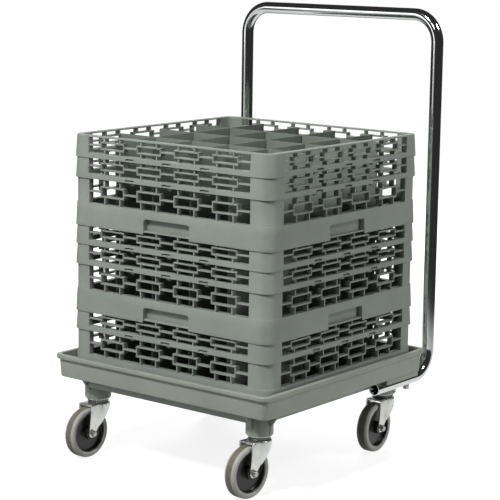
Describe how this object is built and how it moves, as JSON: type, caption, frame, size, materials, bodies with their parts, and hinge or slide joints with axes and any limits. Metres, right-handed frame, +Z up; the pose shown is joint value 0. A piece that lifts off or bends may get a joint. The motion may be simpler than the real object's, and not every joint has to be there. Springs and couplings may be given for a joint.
{
  "type": "dish rack dolly",
  "caption": "Low wheeled tray with an upright push handle on swivel casters, carrying a stack of open lattice dish racks with compartments.",
  "frame": {"origin": "on the floor, under the middle of the whole object's box", "axes": "+Z up; +Y towards the push handle, -Y the front; +X the right side seen from the front"},
  "size_m": [0.546, 0.6237, 0.9077],
  "materials": {
    "deck_plastic": "satin moulded",
    "rack_plastic": "satin moulded",
    "handle_chrome": "polished",
    "fork_zinc": "bright zinc plated",
    "race_steel": "dark",
    "zinc": "bright zinc plated",
    "tyre": "matt",
    "hub_plastic": "satin"
  },
  "bodies": {
    "dolly": {"deck_tray": "deck_plastic", "push_handle": "handle_chrome", "handle_bolts": "zinc", "caster_kingpins": "zinc", "caster_top_races": "zinc"},
    "fork_unit_front_left": {"fork_front_left": "fork_zinc", "ball_race_front_left": "race_steel", "axle_bolt_front_left": "zinc", "axle_nut_front_left": "zinc", "axle_sleeve_front_left": "zinc"},
    "wheel_front_left": {"tyre_front_left": "tyre", "hub_front_left": "hub_plastic"},
    "fork_unit_front_right": {"fork_front_right": "fork_zinc", "ball_race_front_right": "race_steel", "axle_bolt_front_right": "zinc", "axle_nut_front_right": "zinc", "axle_sleeve_front_right": "zinc"},
    "wheel_front_right": {"tyre_front_right": "tyre", "hub_front_right": "hub_plastic"},
    "fork_unit_back_right": {"fork_back_right": "fork_zinc", "ball_race_back_right": "race_steel", "axle_bolt_back_right": "zinc", "axle_nut_back_right": "zinc", "axle_sleeve_back_right": "zinc"},
    "wheel_back_right": {"tyre_back_right": "tyre", "hub_back_right": "hub_plastic"},
    "fork_unit_back_left": {"fork_back_left": "fork_zinc", "ball_race_back_left": "race_steel", "axle_bolt_back_left": "zinc", "axle_nut_back_left": "zinc", "axle_sleeve_back_left": "zinc"},
    "wheel_back_left": {"tyre_back_left": "tyre", "hub_back_left": "hub_plastic"},
    "rack_lower": {"rack_lower_base": "rack_plastic", "rack_lower_floor": "rack_plastic", "rack_lower_extender_1": "rack_plastic", "rack_lower_dividers": "rack_plastic"},
    "rack_middle": {"rack_middle_base": "rack_plastic", "rack_middle_floor": "rack_plastic", "rack_middle_extender_1": "rack_plastic", "rack_middle_extender_2": "rack_plastic", "rack_middle_dividers": "rack_plastic"},
    "rack_upper": {"rack_upper_base": "rack_plastic", "rack_upper_floor": "rack_plastic", "rack_upper_extender_1": "rack_plastic", "rack_upper_extender_2": "rack_plastic", "rack_upper_dividers": "rack_plastic"}
  },
  "joints": [
    {"name": "swivel_front_left", "type": "hinge", "parent": "dolly", "child": "fork_unit_front_left", "pos_m": [-0.209, -0.22673, 0.1095], "axis": [0, 0, 1], "continuous": true},
    {"name": "roll_front_left", "type": "hinge", "parent": "fork_unit_front_left", "child": "wheel_front_left", "pos_m": [-0.21019, -0.26071, 0.0508], "axis": [0.9994, -0.0349, 0], "continuous": true},
    {"name": "swivel_front_right", "type": "hinge", "parent": "dolly", "child": "fork_unit_front_right", "pos_m": [0.209, -0.22673, 0.1095], "axis": [0, 0, 1], "continuous": true},
    {"name": "roll_front_right", "type": "hinge", "parent": "fork_unit_front_right", "child": "wheel_front_right", "pos_m": [0.20604, -0.2606, 0.0508], "axis": [0.9962, -0.0872, 0], "continuous": true},
    {"name": "swivel_back_right", "type": "hinge", "parent": "dolly", "child": "fork_unit_back_right", "pos_m": [0.209, 0.19127, 0.1095], "axis": [0, 0, 1], "continuous": true},
    {"name": "roll_back_right", "type": "hinge", "parent": "fork_unit_back_right", "child": "wheel_back_right", "pos_m": [0.21102, 0.15733, 0.0508], "axis": [0.9982, 0.0593, 0], "continuous": true},
    {"name": "swivel_back_left", "type": "hinge", "parent": "dolly", "child": "fork_unit_back_left", "pos_m": [-0.209, 0.19127, 0.1095], "axis": [0, 0, 1], "continuous": true},
    {"name": "roll_back_left", "type": "hinge", "parent": "fork_unit_back_left", "child": "wheel_back_left", "pos_m": [-0.21078, 0.15732, 0.0508], "axis": [0.9986, -0.0523, 0], "continuous": true},
    {"name": "lift_rack_lower", "type": "slide", "parent": "dolly", "child": "rack_lower", "axis": [0, 0, 1], "range_m": [0, 0.06]},
    {"name": "lift_rack_middle", "type": "slide", "parent": "rack_lower", "child": "rack_middle", "axis": [0, 0, 1], "range_m": [0, 0.06]},
    {"name": "lift_rack_upper", "type": "slide", "parent": "rack_middle", "child": "rack_upper", "axis": [0, 0, 1], "range_m": [0, 0.06]}
  ]
}
